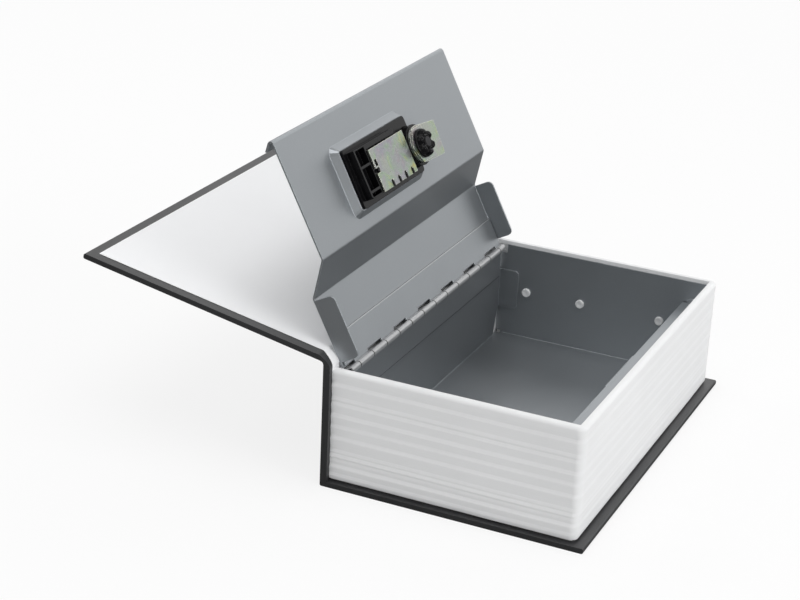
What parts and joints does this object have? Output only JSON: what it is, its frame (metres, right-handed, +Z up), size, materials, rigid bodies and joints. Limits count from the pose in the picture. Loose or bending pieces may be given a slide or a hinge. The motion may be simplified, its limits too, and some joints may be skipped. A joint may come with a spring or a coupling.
{
  "type": "book diversion safe",
  "caption": "Hollow book with a ridged page block around a folded steel box, a hinged steel lid with dials and a turning knob, and a cloth-covered front cover.",
  "frame": {"origin": "centre of the back cover's underside", "axes": "+X from the spine to the fore edge, +Y from tail to head, +Z up through the closed book"},
  "size_m": [0.2279, 0.18, 0.1404],
  "materials": {
    "cover_cloth": "dark grey book cloth with a fine grain, dull",
    "cover_board": "grey-brown binder's board, dull",
    "white_paper": "white endpaper, dull",
    "page_plastic": "white moulded plastic, satin",
    "painted_steel": "grey powder coat, satin",
    "hinge_steel": "grey powder coat, worn bright on the knuckles",
    "black_plastic": "black moulded plastic, semi-gloss",
    "dial_plastic": "black moulded plastic with white numbers, satin",
    "zinc_plate": "zinc plating with a yellow-green sheen",
    "bright_steel": "bright steel"
  },
  "bodies": {
    "root": {"back_board": "cover_board", "spine_board": "cover_board", "case_cloth": "cover_cloth", "spine_lining": "white_paper", "page_shell": "page_plastic", "steel_box": "painted_steel", "keeper": "painted_steel", "hinge_box_leaf": "hinge_steel", "hinge_pin": "bright_steel"},
    "lid": {"lid_panel": "painted_steel", "hinge_lid_leaf": "hinge_steel", "lock_body": "black_plastic", "lock_barrel": "black_plastic", "lock_bezel": "black_plastic", "lock_cover_plate": "zinc_plate", "dial_axle": "bright_steel", "detent_spring": "bright_steel"},
    "number_dial_1": {"dial_1": "dial_plastic", "dial_sleeve_1": "zinc_plate"},
    "number_dial_2": {"dial_2": "dial_plastic", "dial_sleeve_2": "zinc_plate"},
    "number_dial_3": {"dial_3": "dial_plastic", "dial_sleeve_3": "zinc_plate"},
    "knob_and_cam": {"knob": "black_plastic", "spindle": "bright_steel", "cam_plate": "zinc_plate", "cam_washer": "zinc_plate", "cam_nut": "black_plastic"},
    "joint_strip": {"joint_cloth": "cover_cloth", "joint_lining": "white_paper"},
    "front_cover": {"front_board": "cover_board", "front_cloth": "cover_cloth", "front_endpaper": "white_paper"}
  },
  "joints": [
    {"name": "lid_hinge", "type": "hinge", "parent": "root", "child": "lid", "pos_m": [-0.04975, 0, 0.04995], "axis": [0, 1, 0], "range_deg": [0, 117.8]},
    {"name": "cover_joint", "type": "hinge", "parent": "root", "child": "joint_strip", "pos_m": [-0.0578, 0, 0.05386], "axis": [0, 1, 0], "range_deg": [0, 122.5]},
    {"name": "cover_fold", "type": "hinge", "parent": "joint_strip", "child": "front_cover", "pos_m": [-0.06064, 0, 0.05619], "axis": [0, 1, 0], "range_deg": [-40, 46.8]},
    {"name": "dial_turn_1", "type": "hinge", "parent": "lid", "child": "number_dial_1", "pos_m": [-0.07219, -0.01915, 0.11375], "axis": [0, 1, 0], "continuous": true},
    {"name": "dial_turn_2", "type": "hinge", "parent": "lid", "child": "number_dial_2", "pos_m": [-0.07219, -0.01272, 0.11375], "axis": [0, 1, 0], "continuous": true},
    {"name": "dial_turn_3", "type": "hinge", "parent": "lid", "child": "number_dial_3", "pos_m": [-0.07219, -0.00629, 0.11375], "axis": [0, 1, 0], "continuous": true},
    {"name": "knob_turn", "type": "hinge", "parent": "lid", "child": "knob_and_cam", "pos_m": [-0.08095, 0.011, 0.10913], "axis": [0.8846, 0, 0.4664], "range_deg": [0, 90]}
  ],
  "couplings": [
    {"joint": "cover_joint", "follows": "lid_hinge", "ratio": 1.0398}
  ]
}
